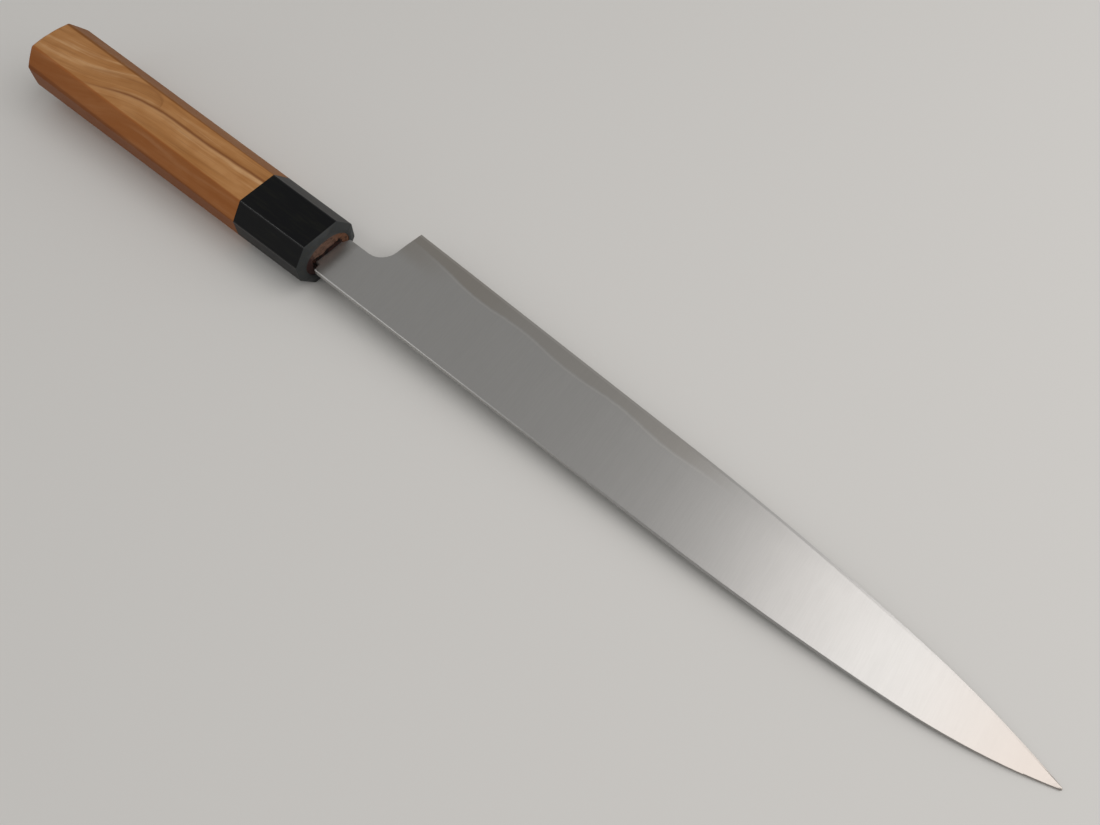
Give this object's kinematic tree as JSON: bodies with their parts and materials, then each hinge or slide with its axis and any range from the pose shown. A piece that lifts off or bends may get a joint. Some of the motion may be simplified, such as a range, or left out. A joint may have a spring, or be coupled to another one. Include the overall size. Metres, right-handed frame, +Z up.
{
  "type": "sujihiki knife",
  "caption": "Slicing knife: long narrow laminated blade with a cut-in choil and a hidden tang, set in a black octagonal ferrule and a tapered octagonal wooden handle.",
  "frame": {"origin": "middle of the bounding box's underside, on the surface the knife lies on", "axes": "+X from the butt to the tip, +Y from the spine to the edge, +Z up, out of the left face"},
  "size_m": [0.404, 0.0404, 0.0236],
  "materials": {
    "hard_steel": "hard core steel, bare along the edge, fine ground",
    "soft_steel": "soft cladding steel, satin with fine hairlines across the blade",
    "black_horn": "black buffalo horn, sanded and oiled to a low sheen",
    "olive_wood": "olive wood, oiled, golden brown with darker wavy figure",
    "dowel_wood": "end grain, sanded flat and stained by oil",
    "dark_resin": "dark sealing resin, slightly glossy",
    "amber_resin": "cast glue line, hidden"
  },
  "bodies": {
    "root": {"blade_core": "hard_steel", "cladding_left": "soft_steel", "cladding_right": "soft_steel", "ferrule": "black_horn", "handle_body": "olive_wood", "dowel": "dowel_wood", "mouth_seal": "dark_resin", "tang_bedding": "amber_resin"}
  },
  "joints": []
}
